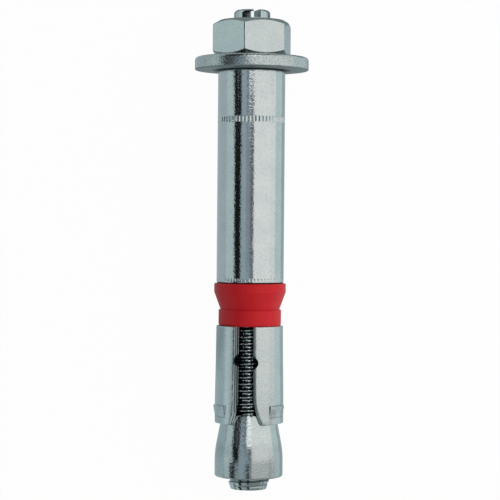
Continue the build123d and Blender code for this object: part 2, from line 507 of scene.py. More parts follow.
def threaded_form(material):
    """The whole stud as one skin whose rows follow the helix: dog point, threads, shank and lead."""
    rule = ShapeRule("helical_thread")
    graph = rule.graph
    length = rule.length("Length", stud_end - stud_top)
    pitch = rule.length("Pitch", thread_pitch)
    crest = rule.length("Crest Radius", thread_d / 2)
    height = rule.length("Thread Height", thread_height)
    blank = rule.length("Shank Radius", shank_d / 2)
    dog = rule.length("Dog Radius", dog_d / 2)
    rounding = rule.length("Dog Rounding", dog_rounding)
    dog_end = rule.length("Dog Length", dog_length)
    dog_draft = rule.value("Dog Draft", tan(radians(dog_draft_angle)))
    lead = rule.length("Lead Length", lead_length)
    lead_radius = rule.length("Lead End Radius", lead_end_d / 2)
    shank_start = rule.length("Shank Start", upper_thread_end - stud_top)
    shank_end = rule.length("Shank End", lower_thread_start - stud_top)

    turns = ceil((stud_end - stud_top) / thread_pitch) + 1
    grid = graph.node(
        "GeometryNodeMeshGrid",
        inputs={
            "Size X": 1.0,
            "Size Y": 1.0,
            "Vertices X": turns * thread_samples + 1,
            "Vertices Y": thread_segments + 1,
        },
    )
    turn = (rule.place[0] + 0.5) * turns
    round_axis = rule.place[1] + 0.5
    depth = ((turn - round_axis) * pitch).math("MAXIMUM", 0).math("MINIMUM", length)

    # Thread section: a truncated triangle, with its crest where a turn begins
    triangle = (turn.math("FRACT") * 2 - 1).math("ABSOLUTE")
    bent = graph.rise(triangle, thread_root_share, thread_crest_share)
    straight = graph.number(
        "ShaderNodeMapRange",
        inputs={"Value": triangle, "From Min": thread_root_share, "From Max": thread_crest_share},
    )
    section = bent * thread_roundness + straight * (1 - thread_roundness)
    thread = crest - height * (1 - section)
    on_shank = graph.rise(depth, shank_start, shank_start + pitch) * \
        graph.fall(depth, shank_end - pitch, shank_end)
    thread = thread * (1 - on_shank) + blank * on_shank

    # Outer limits: the rounded and drafted dog point, the cone below it, and the lead
    into_rounding = (rounding - depth).math("MAXIMUM", 0)
    dog_limit = dog - rounding + (rounding * rounding - into_rounding * into_rounding).math("SQRT")
    dog_limit = dog_limit - (dog_end - depth).math("MAXIMUM", 0) * dog_draft
    dog_limit = dog_limit + (depth - dog_end).math("MAXIMUM", 0)
    lead_limit = lead_radius + (length - depth) * (crest - lead_radius) / lead
    radius = thread.math("MINIMUM", dog_limit).math("MINIMUM", lead_limit)

    angle = round_axis * (2 * pi)
    place = (radius * angle.math("SINE"), -stud_top * MM - depth, radius * angle.math("COSINE"))
    rule.finish(grid.outputs["Mesh"], "Position", place, material)
    return rule


def struck_marks(material, mark_start, mark_end, mark_depth):
    """A ring of short upright marks, pressed into a tube between two depths."""
    rule = ShapeRule("struck_marks")
    graph = rule.graph
    count = rule.value("Count", mark_count)
    start = rule.length("Start", mark_start)
    end = rule.length("End", mark_end)
    runout = rule.length("Run Out", mark_runout)
    deep = rule.length("Depth", mark_depth)
    outside = rule.length("Outside Radius", distance_d / 2)

    across, along, upward = rule.place
    angle = across.math("ARCTAN2", upward)
    wave = ((angle * count).math("COSINE") * 0.5 + 0.5).math("POWER", mark_sharpness)
    depth = along * -1
    inside = graph.rise(depth, start, start + runout) * graph.fall(depth, end - runout, end)
    radius = (across * across + upward * upward).math("SQRT")
    on_outside = radius.math("GREATER_THAN", outside - mark_skin * MM)
    sink = wave * inside * on_outside * deep
    offset = (sink * angle.math("SINE") * -1, 0, sink * angle.math("COSINE") * -1)
    rule.finish(rule.group_input.outputs["Geometry"], "Offset", offset, material)
    return rule


# Materials


def material_graph(name):
    """A new material with its tree, its shader and the place on the piece in object coordinates."""
    material = bpy.data.materials.new(name)
    material.use_nodes = True
    graph = Graph(material.node_tree)
    shader = material.node_tree.nodes["Principled BSDF"]
    place = graph.node("ShaderNodeTexCoord").outputs["Object"]
    return material, graph, shader, place


def noise(graph, place, size, detail=2.0, roughness=0.5):
    """Soft noise whose features are about as large as size, in millimetres."""
    inputs = {"Vector": place, "Scale": 1 / (size * MM), "Detail": detail, "Roughness": roughness}
    return graph.number("ShaderNodeTexNoise", inputs=inputs, output="Fac")


def blend_colour(graph, factor, first, second):
    """A mix of two colours or colour links."""
    node = graph.node("ShaderNodeMix", {"data_type": "RGBA"})
    graph.feed(node.inputs["Factor"], factor)
    graph.feed(node.inputs[6], first)
    graph.feed(node.inputs[7], second)
    return node.outputs[2]


def finish_surface(graph, shader, colour, roughness, relief, relief_height):
    """Feeds the shader with a colour, a roughness and a fine relief."""
    graph.feed(shader.inputs["Base Color"], colour)
    graph.feed(shader.inputs["Roughness"], roughness)
    inputs = {"Strength": 1.0, "Distance": relief_height * MM, "Height": relief}
    graph.feed(shader.inputs["Normal"], graph.node("ShaderNodeBump", inputs=inputs).outputs[0])


def round_the_axis(graph, place):
    """The distance from the axis and the depth in millimetres, and the angle in degrees."""
    across, along, upward = graph.split(place)
    radius = (across * across + upward * upward).math("SQRT") / MM
    return radius, along / -MM, across.math("ARCTAN2", upward) * (180 / pi)


def painted_stud_shade(graph, radius, depth, angle):
    """How dark the stud is, all of it painted shade: on the lower thread's flanks, over the lead and more
    in its groove, and a little on all the rest, where it offsets the stud's painted brightness.
    """
    crest = thread_d / 2
    root = crest - thread_height
    flank = graph.rise(radius, root + 0.02, root + 0.1) * graph.fall(radius, crest - 0.14, crest - 0.06)
    on_lead = graph.rise(depth, stud_end - lead_length - 0.2, stud_end - lead_length)
    lead_radius = lead_end_d / 2 + (stud_end - depth) * ((crest - lead_end_d / 2) / lead_length)
    groove = graph.rise(lead_radius - radius, 0.03, 0.15)
    below_shank = graph.rise(depth, lower_thread_start, lower_thread_start + thread_pitch)
    in_thread = below_shank * (1 - on_lead)
    on_rest = (1 - in_thread) * stud_painted_shade
    return flank * in_thread + on_rest + on_lead * (lead_painted_shade + groove * lead_groove_painted_shade)


def painted_tube_shade(graph, radius, depth, angle):
    """Painted shade on the distance sleeve's end, in the crevice beside the ring."""
    rounding_start = distance_end - distance_end_rounding
    return graph.rise(depth, rounding_start + 0.15, rounding_start + 0.25) * tube_end_painted_shade


def painted_washer_shade(graph, radius, depth, angle):
    """Painted shade on the washer's underside, deeper round the distance sleeve."""
    near_tube = graph.fall(radius, 9.3, 11.0)
    return graph.rise(depth, -0.45, -0.2) * (washer_underside_painted_shade + near_tube * washer_middle_painted_shade)


def painted_sleeve_shade(graph, radius, depth, angle):
    """Painted shade on the expansion sleeve: at its end beside the ring, in the creases beside its
    pads and along their upper and lower edges, and over the pads to the right."""
    at_end = graph.fall(depth, expansion_top + 0.15, expansion_top + 0.4) * \
        graph.fall(radius, ring_band_d / 2 + 0.1, ring_band_d / 2 + 0.35)
    turn = (angle - (pad_angle - slot_pitch / 2)).math("FLOORED_MODULO", slot_pitch)
    across = (turn - slot_pitch / 2).math("ABSOLUTE") - pad_half_angle
    beside = graph.near(across, 0, 0.4, 1.0)
    along = graph.rise(depth, pad_start - 0.15, pad_start) * \
        graph.fall(depth, pad_start + 1.8, pad_start + pad_height)
    top = graph.near(depth, pad_start, 0.05, 0.2) * pad_top_painted_shade
    foot = graph.near(depth, pad_start + pad_height, 0.1, 0.35) * pad_foot_painted_shade
    on_pad = graph.fall(across, -0.6, 0.6)
    crease = (beside * along * pad_crease_painted_shade).math("MAXIMUM", (top + foot) * on_pad)
    right_pad = on_pad * along * graph.rise(angle, 0.0, 1.0) * right_pad_painted_shade
    return (crease + right_pad).math("MAXIMUM", at_end)


def in_keyholes(graph, radius, depth, angle):
    """1 on the walls of the seam's two drilled half holes."""
    across = radius * ((angle - keyhole_angle) * (pi / 180)).math("SINE")
    distances = []
    for side in (-1, 1):
        aside = across - side * keyhole_spacing / 2
        below = depth - root_depth - side * keyhole_step / 2
        distances.append((aside * aside + below * below).math("SQRT"))
    nearest = distances[0].math("MINIMUM", distances[1])
    return graph.fall(nearest, keyhole_radius + 0.15, keyhole_radius + 0.35)


def wall_bands_and_painted_shade(graph, radius, depth, angle):
    """How dark a sheared wall is: darker bands at the outside and in the middle, painted shade at
    the bore and all over in the half holes, and lighter between them. The seam's right wall
    above its half hole has no band at the outside, and its middle band is half as dark."""
    on_right = graph.rise(angle, seam_angle, seam_angle + 2)
    right_above = on_right * graph.fall(depth, root_depth, root_depth + 4)
    outside = graph.within(radius, *outer_dark_band, 0.05) * (1 - right_above)
    middle = graph.within(radius, *middle_dark_band, 0.05) * (1 - right_above * 0.5)
    inside = graph.fall(radius, bore_shade_radius - 0.05, bore_shade_radius + 0.05) * bore_painted_shade
    darkness = outside.math("MAXIMUM", middle).math("MAXIMUM", inside)
    return darkness.math("MAXIMUM", in_keyholes(graph, radius, depth, angle))


def painted_cone_shade(graph, radius, depth, angle):
    """Painted shade on the cone's shoulder and below it."""
    return graph.rise(depth, cone_corner - 4.0, cone_corner - 1.0) * cone_painted_shade


def zinc(name, roughness, mottle, relief, specks=0.2, painted_brightness=1.0, dark_part=None, dark_roughness=0.0):
    """Bright zinc on steel: cloudy, finely mottled and speckled. Mottle is the grain's size and
    relief its height, specks is how dark the small pits are, and the brightness factor paints
    light and shade, making lighter and darker copies of the zinc. Dark_part gives the share of
    painted shade, on the sleeve's walls also of darker bands, from the radius, the depth and
    the angle, and dark_roughness is how much rougher it is there."""
    material, graph, shader, place = material_graph(name)
    cloud = noise(graph, place, 4.0, 3.0)
    grain = noise(graph, place, mottle, 3.0, 0.6)
    fine = noise(graph, place, mottle * 0.8, 1.0)
    tone = graph.rise(cloud * 0.6 + grain * 0.4, 0.38, 0.62)
    pits = graph.rise(fine * 0.7 + grain * 0.3, 0.50, 0.68) * specks
    pale = tuple(painted_brightness * value for value in zinc_pale[:3]) + (1,)
    deep = tuple(painted_brightness * value for value in zinc_deep[:3]) + (1,)
    colour = blend_colour(graph, pits, blend_colour(graph, tone, deep, pale), pit_and_shade_colour)
    roughness = roughness + roughness_spread * (grain - 0.5) + roughness_spread * (cloud - 0.5)
    if dark_part:
        dark = dark_part(graph, *round_the_axis(graph, place))
        colour = blend_colour(graph, dark, colour, pit_and_shade_colour)
        roughness = roughness + dark * dark_roughness
    shader.inputs["Metallic"].default_value = 1
    finish_surface(graph, shader, colour, roughness, grain * 0.7 + fine * 0.3, relief)
    return material


def red_plastic():
    """Moulded plastic with a satin skin."""
    material, graph, shader, place = material_graph("red_plastic")
    cloud = noise(graph, place, 5.0, 2.0)
    grain = noise(graph, place, 0.25, 2.0)
    colour = blend_colour(graph, cloud, (0.54, 0.008, 0.014, 1), (0.62, 0.012, 0.019, 1))
    roughness = 0.42 + 0.12 * (grain - 0.5) + 0.06 * (cloud - 0.5)
    shader.inputs["Specular IOR Level"].default_value = 0.3
    finish_surface(graph, shader, colour, roughness, grain, 0.008)
    return material


# Pieces


def make_stud(material):
    """The stud, with its driver slot cut into the dog point."""
    seed = linked("thread_seed", bpy.data.meshes.new("thread_seed"))
    skin = threaded_form(material).apply_to(seed).data
    bpy.data.objects.remove(seed)
    stud = object_of("rolled_stud", skin, 1e-6)

    blade = bmesh.new()
    bmesh.ops.create_cube(blade, size=1)
    size = Matrix.Diagonal((driver_slot_width * MM, 2 * driver_slot_depth * MM, 2 * dog_d * MM, 1))
    turn = Matrix.Rotation(radians(driver_slot_turn), 4, "Y")
    move = Matrix.Translation((0, -stud_top * MM, 0))
    bmesh.ops.transform(blade, matrix=move @ turn @ size, verts=blade.verts)
    blade_mesh = bpy.data.meshes.new("slot_blade")
    blade.to_mesh(blade_mesh)
    blade.free()
    cutter = linked("slot_blade", blade_mesh)
    cut = stud.modifiers.new("driver slot", "BOOLEAN")
    cut.operation = "DIFFERENCE"
    cut.solver = "EXACT"
    cut.object = cutter
    applied(stud)
    bpy.data.objects.remove(cutter)
    return dress(smooth(stud, 50), material, "bright_zinc", "stud", "threaded_stud")


def hexagon_radius(angle):
    """The hexagon's radius, with its corners rounded, at an angle from one of its corners."""
    inner = nut_across_flats / 2
    across = abs((angle + 30) % 60 - 30)
    centre = (inner - nut_corner_rounding) / cos(radians(30))
    tangent = degrees(atan2(nut_corner_rounding / 2, centre + nut_corner_rounding * cos(radians(30))))
    if across >= tangent:
        return inner / cos(radians(30 - across))
    off_centre = centre * sin(radians(across))
    return centre * cos(radians(across)) + sqrt(nut_corner_rounding**2 - off_centre**2)


def nut_thread_radius(angle, depth):
    """The nut's bore: the stud's own helix with clearance, truncated and countersunk."""
    turn = (depth - stud_top) / thread_pitch + angle / 360
    triangle = abs(turn % 1 * 2 - 1)
    straight = (triangle - thread_root_share) / (thread_crest_share - thread_root_share)
    straight = min(1, max(0, straight))
    bent = straight * straight * (3 - 2 * straight)
    section = bent * thread_roundness + straight * (1 - thread_roundness)
    radius = thread_d / 2 - thread_height * (1 - section) + nut_thread_clearance
    countersink = threaded_bore_d / 2 + nut_countersink - min(depth - nut_top, nut_base - depth)
    return max(radius, nut_minor_d / 2, countersink)


def make_nut(material):
    """The hexagon nut, with rounded corners, both faces chamfered and a thread in its bore."""
    right_of_corner = [0.3, 0.6, 0.95, 1.3, 2, 4]
    offsets = [-offset for offset in right_of_corner] + [0] + right_of_corner + list(range(6, 57, 3))
    angles = sorted((60 * side + offset) % 360 for side in range(6) for offset in offsets)
    slope = tan(radians(nut_chamfer_angle))
    rows = ceil((nut_base - nut_top) / thread_pitch * thread_samples)
    depths = [nut_base + (nut_top - nut_base) * row / rows for row in range(1, rows)]
    bore = threaded_bore_d / 2 + nut_countersink

    def profile_at(angle):
        radius = hexagon_radius(angle - nut_turn)
        trim = (radius - nut_face_d / 2) * slope
        outline = [
            (bore, nut_top, nut_bore_rounding),
            (nut_face_d / 2, nut_top, nut_face_rounding),
            (radius, nut_top + trim, nut_edge_rounding),
            (radius, nut_base - trim, nut_edge_rounding),
            (nut_face_d / 2, nut_base, nut_face_rounding),
            (bore, nut_base, nut_bore_rounding),
        ]
        return rounded(outline + [(nut_thread_radius(angle, depth), depth) for depth in depths], steps=3)

    nut = swept("hexagon_nut", [angle + nut_turn for angle in angles], profile_at)
    return dress(smooth(nut), material, "bright_zinc", "nut", "hex_nut")


def make_washer(material):
    washer = turned(
        "plate_washer",
        [
            (washer_bore_d, washer_top, washer_bore_rounding),
            (washer_d, washer_top, washer_top_rounding),
            (washer_d, 0, washer_bottom_rounding),
            (washer_bore_d, 0, washer_bore_rounding),
        ],
        segments=200,
    )
    return dress(smooth(washer), material, "bright_zinc", "sleeves", "washer")


def make_distance_sleeve(material):
    """The tube, with rows close together where the marks are struck. Its hidden bore is a cone that
    widens from the end to the upper rounding, because the profile's first point is left out."""
    profile = rounded(
        [
            (distance_bore_d / 2, 0),
            (distance_d / 2, 0, distance_end_rounding),
            (distance_d / 2, distance_end, distance_end_rounding),
            (distance_bore_d / 2, distance_end),
        ]
    )
    marked = []
    for start, end, _ in (gauge_marks, end_marks):
        rows = ceil((end - start) / mark_row)
        marked += [Vector((distance_d / 2, start + (end - start) * row / rows)) for row in range(rows + 1)]
    above = [point for point in profile[1:] if point.y < distance_end / 2]
    below = [point for point in profile if point.y > distance_end / 2]
    profile = above + marked + below
    count = mark_count * mark_samples
    angles = [360 * index / count for index in range(count)]
    sleeve = swept("drawn_tube", angles, lambda angle: profile)
    for marks in (gauge_marks, end_marks):
        sleeve = struck_marks(material, *marks).apply_to(sleeve)
    return dress(smooth(sleeve), material, "bright_zinc", "sleeves", "distance_sleeve")


def make_ring(material):
    band_top = ring_end - ring_band_height
    ring = turned(
        "crumple_ring",
        [
            (ring_bore_d, ring_top, ring_bore_rounding),
            (ring_rim_d, ring_top, ring_rim_rounding),
            (ring_rim_d, ring_top + ring_rim_height, ring_shoulder_rounding),
            (ring_neck_d, band_top, ring_neck_rounding),
            (ring_band_d, band_top, ring_band_top_rounding),
            (ring_band_d, ring_end, ring_band_rounding),
            (ring_bore_d, ring_end, ring_bore_rounding),
        ],
    )
    return dress(smooth(ring), material, "red_plastic", "sleeves", "collapsible_ring")


def make_cone(material):
    cone = turned(
        "cone",
        [
            (threaded_bore_d, cone_top, cone_bore_top_rounding),
            (cone_top_d, cone_top, cone_top_rounding),
            (cone_d, cone_corner, cone_shoulder_radius),
            (cone_d, cone_end, cone_end_rounding),
            (threaded_bore_d, cone_end, cone_bore_end_rounding),
        ],
        segments=180,
        steps=8,
    )
    return dress(smooth(cone), material, "bright_zinc", "stud", "cone_nut")


# Expansion sleeve, cut as a flat blank and rolled


class SheetFace:
    """One face of the rolled sheet: lean is 0 outside and 1 at the bore, where the slots' walls end."""

    def __init__(self, radius_at, flat_radius, lean):
        self.radius_at = radius_at
        self.flat_radius = flat_radius
        self.lean = lean

    def flat(self, angle, depth, rounding=0):
        return (radians(angle) * self.flat_radius, depth, rounding)

    def rolled(self, point, rise=0):
        """A flat point, rolled round the axis."""
        angle = degrees(point[0] / self.flat_radius)
        return point_at(self.radius_at(point[1]) + rise, point[1], angle)


def outer_radius(depth):
    """The sleeve's outside, which flares a little towards the mouth."""
    depths = [expansion_top, root_depth, flare_depth, expansion_end]
    diameters = [expansion_top_d, expansion_root_d, expansion_mouth_d, expansion_mouth_d]
    nearby = [depth + flare_smoothing * step for step in (-2, -1, 0, 1, 2)]
    return float(np.mean(np.interp(nearby, depths, diameters))) / 2


def bore_radius(depth):
    """The sleeve's bore, which opens at the mouth to take the cone."""
    taper_start = expansion_end - (mouth_bore_d - expansion_bore_d) / 2 / cone_taper
    return expansion_bore_d / 2 + max(0, depth - taper_start) * cone_taper


def wall_angle(number, side, depth, face):
    """Where a slot's wall meets a face of the sheet: number 0 is the seam, side is -1 or 1."""
    middle = seam_angle + slot_pitch * number
    if number:
        return middle + side * finger_slot_half_angle
    half = seam_half_angle + seam_growth * (depth - expansion_top) - seam_lean * face.lean
    return middle + side * half


def hole_edge(hole, turn, face):
    """A place on the edge of a hole drilled straight in, as an angle and a depth."""
    angle, off_centre, depth, radius = hole
    across = off_centre + radius * cos(radians(turn))
    along = depth + radius * sin(radians(turn))
    return angle + degrees(asin(across / face.radius_at(along))), along


def hole_cusp(hole, number, side, inside, outside, face):
    """The turn at which a hole's edge crosses a slot's wall, between one turn inside the wall's
    metal and one that is out in the slot."""
    for _ in range(30):
        turn = (inside + outside) / 2
        angle, depth = hole_edge(hole, turn, face)
        if side * (angle - wall_angle(number, side, depth, face)) > 0:
            inside = turn
        else:
            outside = turn
    return inside


def hole_arc(hole, first, last, face, steps):
    turns = [first + (last - first) * step / steps for step in range(steps + 1)]
    return [hole_edge(hole, turn, face) for turn in turns]


def slot_corner(number, side, face):
    """The cut corner at the mouth beside a slot: the point on the wall, then the point on the rim."""
    height, half_angle, rounding = seam_corners[side] if number == 0 else finger_corner
    depth = expansion_end - height
    lean = seam_lean * face.lean if number == 0 else 0
    rim_angle = seam_angle + slot_pitch * number + side * (half_angle - lean)
    return [
        face.flat(wall_angle(number, side, depth, face), depth, rounding),
        face.flat(rim_angle, expansion_end, mouth_corner_rounding),
    ]


def seam_side(side, face):
    """One end of the strip from the top to the rim, with its half keyhole."""
    depth = root_depth + side * keyhole_step / 2
    hole = (keyhole_angle, side * keyhole_spacing / 2, depth, keyhole_radius)
    sideways = 0 if side > 0 else 180
    inside, outside = 12, 130
    upper, lower = (
        hole_cusp(hole, 0, side, sideways + way * inside, sideways + way * outside, face)
        for way in (-side, side)
    )
    points = [face.flat(wall_angle(0, side, expansion_top, face), expansion_top)]
    for angle, depth in hole_arc(hole, upper, lower, face, keyhole_arc_steps):
        reach = max(side * angle, side * wall_angle(0, side, depth, face))
        points.append(face.flat(side * reach, depth))
    return points + slot_corner(0, side, face)


def finger_slot(number, face):
    """The edge of a slot between two fingers, from the rim over its keyhole to the rim."""
    hole = (seam_angle + slot_pitch * number, 0, root_depth, finger_keyhole_radius)
    first = hole_cusp(hole, number, -1, 180, 90, face)
    last = hole_cusp(hole, number, 1, 0, 90, face)
    arc = hole_arc(hole, first, 360 + last, face, finger_keyhole_steps)
    up, down = slot_corner(number, -1, face), slot_corner(number, 1, face)
    return up[::-1] + [face.flat(angle, depth) for angle, depth in arc] + down


def sheet_outline(face):
    """The blank's outline on one face, with its corners rounded."""
    points = seam_side(1, face)
    for number in range(1, slot_count):
        points += finger_slot(number, face)
    turn = 2 * pi * face.flat_radius
    points += [(across + turn, depth, rounding) for across, depth, rounding in seam_side(-1, face)[::-1]]
    return rounded(points, steps=7)


def divided(outlines):
    """The outlines with their long edges divided alike, as the first one needs it."""
    results = [[] for _ in outlines]
    count = len(outlines[0])
    for index in range(count):
        following = (index + 1) % count
        length = (outlines[0][following] - outlines[0][index]).length
        parts = max(1, ceil(length / sheet_edge))
        for outline, result in zip(outlines, results):
            step = (outline[following] - outline[index]) / parts
            result += [outline[index] + step * part for part in range(parts)]
    return results


def inset_loop(loop, inset):
    """A closed loop moved into the sheet, which lies to the right of its direction."""
    moved = []
    for index, point in enumerate(loop):
        before = (point - loop[index - 1]).normalized()
        after = (loop[(index + 1) % len(loop)] - point).normalized()
        first, second = Vector((before.y, -before.x)), Vector((after.y, -after.x))
        mitre = (first + second) / max(0.5, 1 + first.dot(second))
        moved.append(point + mitre * inset)
    return moved


def is_inside(places, loop, margin):
    """Which of the places are inside a closed loop and at least a margin away from it."""
    start = np.array([tuple(point) for point in loop])
    end = np.roll(start, -1, axis=0)
    step = end - start
    inside = np.zeros(len(places), dtype=bool)
    clear = np.ones(len(places), dtype=bool)
    for (x0, y0), (x1, y1), (dx, dy) in zip(start, end, step):
        crosses = (y0 > places[:, 1]) != (y1 > places[:, 1])
        if y1 != y0:
            inside ^= crosses & (places[:, 0] < (x1 - x0) * (places[:, 1] - y0) / (y1 - y0) + x0)
        share = ((places[:, 0] - x0) * dx + (places[:, 1] - y0) * dy) / (dx * dx + dy * dy)
        share = np.clip(share, 0, 1)
        distance = np.hypot(places[:, 0] - x0 - share * dx, places[:, 1] - y0 - share * dy)
        clear &= distance > margin
    return inside & clear


def pad_height_at(angle, depth):
    """How far the pads stand out: rounded at their upper edge and sides, and running out below."""
    across = abs((angle - pad_angle + slot_pitch / 2) % slot_pitch - slot_pitch / 2)
    reach = [distance for distance, _ in pad_edge]
    share = [rise for _, rise in pad_edge]
    beside = np.interp(radians(pad_half_angle - across) * expansion_mouth_d / 2, reach, share)
    below = np.interp(depth - pad_start, reach, share)
    run_out = np.interp(depth, [pad_start + reach[-1], pad_start + pad_height], [1, 0])
    return pad_rise * float(beside * below * run_out)


def pad_lattice(columns, rows):
    """The lattice of the outside, with lines of its own along the edges of the pads."""
    edges = [pad_half_angle - degrees(distance / (expansion_mouth_d / 2)) for distance, _ in pad_edge]
    for number in range(slot_count):
        middle = pad_angle + slot_pitch * number
        for side in (-1, 1):
            near = middle + side * pad_half_angle
            columns = [angle for angle in columns if abs(angle - near) > pad_column_gap]
            columns += [middle + side * edge for edge in edges]
    rows = [depth for depth in rows if abs(depth - pad_start) > sheet_row / 2]
    rows += [pad_start + distance for distance, _ in pad_edge] + [pad_start + pad_height]
    return sorted(columns), sorted(rows)


def filled_face(loop, face, columns, rows):
    """Flat triangles inside a loop, with a lattice of points between."""
    lattice = np.array([(radians(angle) * face.flat_radius, depth) for angle in columns for depth in rows])
    lattice = lattice[is_inside(lattice, loop, sheet_margin)]
    places = [Vector(point) for point in loop] + [Vector(point) for point in lattice]
    edges = [(index, (index + 1) % len(loop)) for index in range(len(loop))]
    inside_only, weld = 1, 1e-6
    points, _, triangles, _, _, _ = delaunay_2d_cdt(places, edges, [], inside_only, weld)
    return points, triangles


def edge_arc(rounding, steps=4):
    """A rounded edge as pairs of inset and drop, from the face to the wall."""
    turns = [pi / 2 * step / steps for step in range(steps + 1)]
    return [(rounding * (1 - sin(turn)), rounding * (1 - cos(turn))) for turn in turns]


def is_wall(face):
    """Whether a face belongs to the walls or the bore, and not to the bright outside, which reaches
    a margin over the edge: least in the seam's half holes and on its right wall above them, and
    most where a face looks along the axis."""
    radius, depth = hypot(face.center.x, face.center.z) / MM, -face.center.y / MM
    angle = degrees(atan2(face.center.x, face.center.z))
    across = radius * sin(radians(angle - keyhole_angle))
    from_keyholes = hypot(max(0, abs(across) - keyhole_spacing / 2), depth - root_depth)
    right_above = seam_angle < angle < seam_angle + 2 * seam_half_angle and depth < root_depth
    if from_keyholes < keyhole_radius + keyhole_reach or right_above:
        margin = right_wall_margin
    elif abs(face.normal.y) < end_normal:
        margin = wall_margin
    else:
        margin = end_margin
    return radius < outer_radius(depth) - margin


def make_expansion_sleeve(material, wall_material):
    """The outside with its pads and the bore, joined by the walls along the blank's outline."""
    outside = SheetFace(outer_radius, expansion_mouth_d / 2, 0)
    bore = SheetFace(bore_radius, expansion_bore_d / 2, 1)
    outer_loop, bore_loop = divided([sheet_outline(outside), sheet_outline(bore)])
    through = [
        (bore.rolled(low) - outside.rolled(high)).normalized() for high, low in zip(outer_loop, bore_loop)
    ]
    count = len(outer_loop)
    vertices, faces = [], []

    def add_loop(loop, face, inset, drop):
        for point, direction in zip(inset_loop(loop, inset), through):
            vertices.append(face.rolled(point) + direction * drop * MM)

    def add_face(loop, face, columns, rows, rise_at):
        points, triangles = filled_face(loop, face, columns, rows)
        start = len(vertices)
        for point in points:
            angle = degrees(point[0] / face.flat_radius)
            vertices.append(face.rolled(point, rise_at(angle, point[1])))
        faces.extend(tuple(start + corner for corner in triangle) for triangle in triangles)

    for inset, drop in edge_arc(outer_edge_rounding):
        add_loop(outer_loop, outside, inset, drop)
    for inset, drop in reversed(edge_arc(inner_edge_rounding)):
        add_loop(bore_loop, bore, inset, -drop)
    for level in range(len(vertices) // count - 1):
        for index in range(count):
            first, second = level * count + index, level * count + (index + 1) % count
            faces.append((first, second, second + count, first + count))

    columns = list(np.arange(seam_angle, seam_angle + 360, sheet_column))
    rows = list(np.arange(expansion_top + sheet_row / 2, expansion_end, sheet_row))
    inner_edge = inset_loop(bore_loop, inner_edge_rounding)
    outer_edge = inset_loop(outer_loop, outer_edge_rounding)
    add_face(inner_edge, bore, columns, rows, lambda angle, depth: 0)
    add_face(outer_edge, outside, *pad_lattice(columns, rows), pad_height_at)

    sleeve = smooth(mesh_object("slit_sleeve", vertices, faces))
    dress(sleeve, material, "bright_zinc", "sleeves", "expansion_sleeve")
    sleeve.data.materials.append(wall_material)
    for face in sleeve.data.polygons:
        if is_wall(face):
            face.material_index = 1
    return sleeve


# The thread and the sheared walls get lighter copies of the zinc and the washer a darker one: painted light
# and shade.
make_stud(zinc("zinc_thread", roughness=0.11, mottle=0.35, relief=0.01, painted_brightness=1.35, dark_part=painted_stud_shade))
make_nut(zinc("zinc_nut", roughness=0.22, mottle=0.6, relief=0.02, specks=0.12))
make_washer(
    zinc("zinc_washer", roughness=0.24, mottle=0.6, relief=0.1, specks=0.4, painted_brightness=0.92,
         dark_part=painted_washer_shade, dark_roughness=0.6)
)
make_distance_sleeve(
    zinc("zinc_tube", roughness=0.08, mottle=0.6, relief=0.04, specks=0.15, dark_part=painted_tube_shade)
)
make_ring(red_plastic())
make_expansion_sleeve(
    zinc("zinc_sleeve", roughness=0.22, mottle=0.6, relief=0.04, specks=0.12, dark_part=painted_sleeve_shade),
    zinc("sheared_wall", roughness=0.6, mottle=0.35, relief=0.02, painted_brightness=1.5, dark_part=wall_bands_and_painted_shade),
)
make_cone(
    zinc("zinc_cone", roughness=0.11, mottle=0.55, relief=0.042, specks=0.15, dark_part=painted_cone_shade)
)


# Studio: floor, reflection cards, softbox, world and camera


def studio_material(name):
    """A material that isn't sampled as a light and has no shader yet, its graph and its surface."""
    material = bpy.data.materials.new(name)
    material.use_nodes = True
    material.cycles.emission_sampling = "NONE"
    nodes = material.node_tree.nodes
    nodes.remove(nodes["Principled BSDF"])
    return material, Graph(material.node_tree), nodes["Material Output"].inputs["Surface"]


def glow_of(graph, colour):
    return graph.node("ShaderNodeEmission", inputs={"Color": colour, "Strength": 1.0}).outputs[0]


def seen_straight(graph):
    """1 where the camera looks, directly, in a reflection or through something."""
    rays = graph.node("ShaderNodeLightPath").outputs
    camera, glossy, transmission = (
        Number(graph, rays[f"Is {kind} Ray"]) for kind in ("Camera", "Glossy", "Transmission")
    )
    return camera + glossy + transmission


def make_floor(low):
    """A pale floor that shows white to the camera and keeps the object's soft shadow."""
    reach = floor_reach
    mesh = bpy.data.meshes.new("floor")
    corners = [(-reach, -reach, low), (reach, -reach, low), (reach, reach, low), (-reach, reach, low)]
    mesh.from_pydata(corners, [], [(0, 1, 2, 3)])
    floor = linked("floor", mesh)
    material, graph, surface = studio_material("pale_floor")
    paper = graph.node("ShaderNodeBsdfDiffuse", inputs={"Color": (0.9, 0.9, 0.9, 1)})
    white_share = seen_straight(graph) * floor_white_share
    inputs = {0: white_share, 1: paper.outputs[0], 2: glow_of(graph, (1, 1, 1, 1))}
    graph.feed(surface, graph.node("ShaderNodeMixShader", inputs=inputs).outputs[0])
    mesh.materials.append(material)


def card_object(name, corners, faces, stops):
    """A card that only shows in reflections. Its glow goes from stop to stop along the axis."""
    material, graph, surface = studio_material(name)
    along = graph.split(graph.node("ShaderNodeTexCoord").outputs["Object"])[1]
    colour = (*stops[0][1], 1)
    for (start, _), (end, following) in zip(stops, stops[1:]):
        colour = blend_colour(graph, graph.rise(along, start, end), colour, (*following, 1))
    graph.feed(surface, glow_of(graph, colour))
    mesh = bpy.data.meshes.new(name)
    mesh.from_pydata(corners, [], faces)
    mesh.materials.append(material)
    card = linked(name, mesh)
    card.visible_camera = False
    card.visible_diffuse = False
    card.visible_shadow = False
    card.visible_transmission = False


